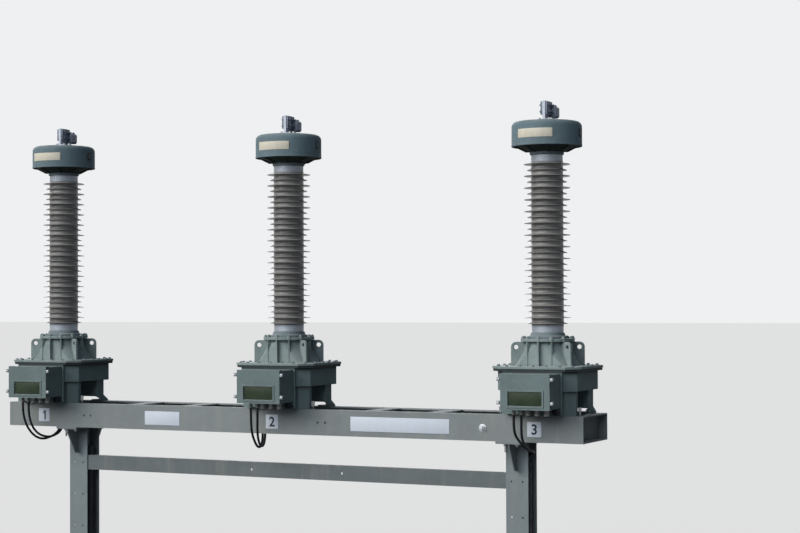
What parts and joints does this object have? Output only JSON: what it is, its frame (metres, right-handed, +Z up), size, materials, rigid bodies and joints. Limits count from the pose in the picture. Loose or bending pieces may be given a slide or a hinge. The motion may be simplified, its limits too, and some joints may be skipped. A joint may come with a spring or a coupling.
{
  "type": "instrument transformer row",
  "caption": "Row of outdoor high-voltage instrument transformers with shed insulators, drum heads, grey tanks and terminal boxes on a shared two-post steel frame.",
  "frame": {"origin": "ground level, at the middle of the object's bounding box seen from above", "axes": "+X runs along the row, -Y is the side with the terminal boxes, +Z is up"},
  "size_m": [5.23, 0.871, 4.096],
  "materials": {
    "galvanized_frame": "weathered galvanized coat, matt",
    "galvanized_posts": "weathered galvanized coat, matt",
    "grey_paint": "grey-green paint, satin, slightly chalked",
    "box_paint": "light grey-green paint, satin",
    "aluminium_fitting": "cast, matt",
    "clamp_aluminium": "cast, dulled",
    "porcelain": "brown-grey glaze, dusty",
    "gland_metal": "dull",
    "cable_jacket": "matt black jacket",
    "black_plastic": "matt"
  },
  "bodies": {
    "root": {"front_channel": "galvanized_frame", "rear_channel": "galvanized_frame", "end_channels": "galvanized_frame", "cross_beams": "galvanized_frame", "post_left": "galvanized_posts", "post_right": "galvanized_posts", "tie_rail": "galvanized_posts", "cable_ducts": "black_plastic", "cable_cleats": "black_plastic", "tank_1": "grey_paint", "tank_2": "grey_paint", "tank_3": "grey_paint", "base_casting_1": "grey_paint", "base_casting_2": "grey_paint", "base_casting_3": "grey_paint", "lower_fitting_1": "aluminium_fitting", "lower_fitting_2": "aluminium_fitting", "lower_fitting_3": "aluminium_fitting", "insulator_1": "porcelain", "insulator_2": "porcelain", "insulator_3": "porcelain", "upper_fitting_1": "aluminium_fitting", "upper_fitting_2": "aluminium_fitting", "upper_fitting_3": "aluminium_fitting", "head_cover_1": "grey_paint", "head_cover_2": "grey_paint", "head_cover_3": "grey_paint", "terminal_1": "aluminium_fitting", "terminal_2": "aluminium_fitting", "terminal_3": "aluminium_fitting", "conductor_clamp_1": "clamp_aluminium", "conductor_clamp_2": "clamp_aluminium", "conductor_clamp_3": "clamp_aluminium", "terminal_box_1": "box_paint", "terminal_box_2": "box_paint", "terminal_box_3": "box_paint", "box_lid_1": "box_paint", "box_lid_2": "box_paint", "box_lid_3": "box_paint", "cable_glands_1": "gland_metal", "cable_glands_2": "gland_metal", "cable_glands_3": "gland_metal", "cable_1_left": "cable_jacket", "cable_1_right": "cable_jacket", "cable_2_left": "cable_jacket", "cable_2_right": "cable_jacket", "cable_3_left": "cable_jacket", "cable_3_right": "cable_jacket"}
  },
  "joints": []
}
